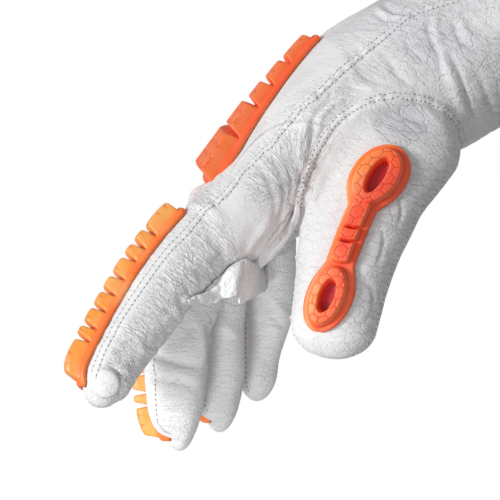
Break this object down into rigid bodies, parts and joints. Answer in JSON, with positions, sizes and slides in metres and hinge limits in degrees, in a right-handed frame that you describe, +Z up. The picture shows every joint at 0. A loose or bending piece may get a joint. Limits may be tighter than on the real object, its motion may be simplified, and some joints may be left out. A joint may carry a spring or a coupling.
{
  "type": "leather work glove",
  "caption": "Right-hand leather work glove in its worn, curved shape, open at the cuff, with moulded rubber impact guards on the back, fingers and thumb.",
  "frame": {"origin": "centre of the cuff's mouth, where the glove is held", "axes": "+Z up; +X from the fingers towards the cuff, whose mouth faces +X and up at 30 degrees; -Y is the thumb side, which is the side pictured; +Y is the little finger's side"},
  "size_m": [0.2195, 0.1157, 0.2176],
  "materials": {
    "glove_leather": "matte grained goatskin, off-white",
    "guard_rubber": "satin orange moulded rubber"
  },
  "bodies": {
    "root": {"back_panel": "glove_leather", "palm_panel": "glove_leather", "index_finger_front": "glove_leather", "middle_finger_front": "glove_leather", "ring_finger_front": "glove_leather", "little_finger_front": "glove_leather", "thumb_outer": "glove_leather", "thumb_inner": "glove_leather", "hand_guard": "guard_rubber", "index_guard": "guard_rubber", "middle_guard": "guard_rubber", "ring_guard": "guard_rubber", "little_guard": "guard_rubber", "thumb_guard": "guard_rubber"}
  },
  "joints": []
}
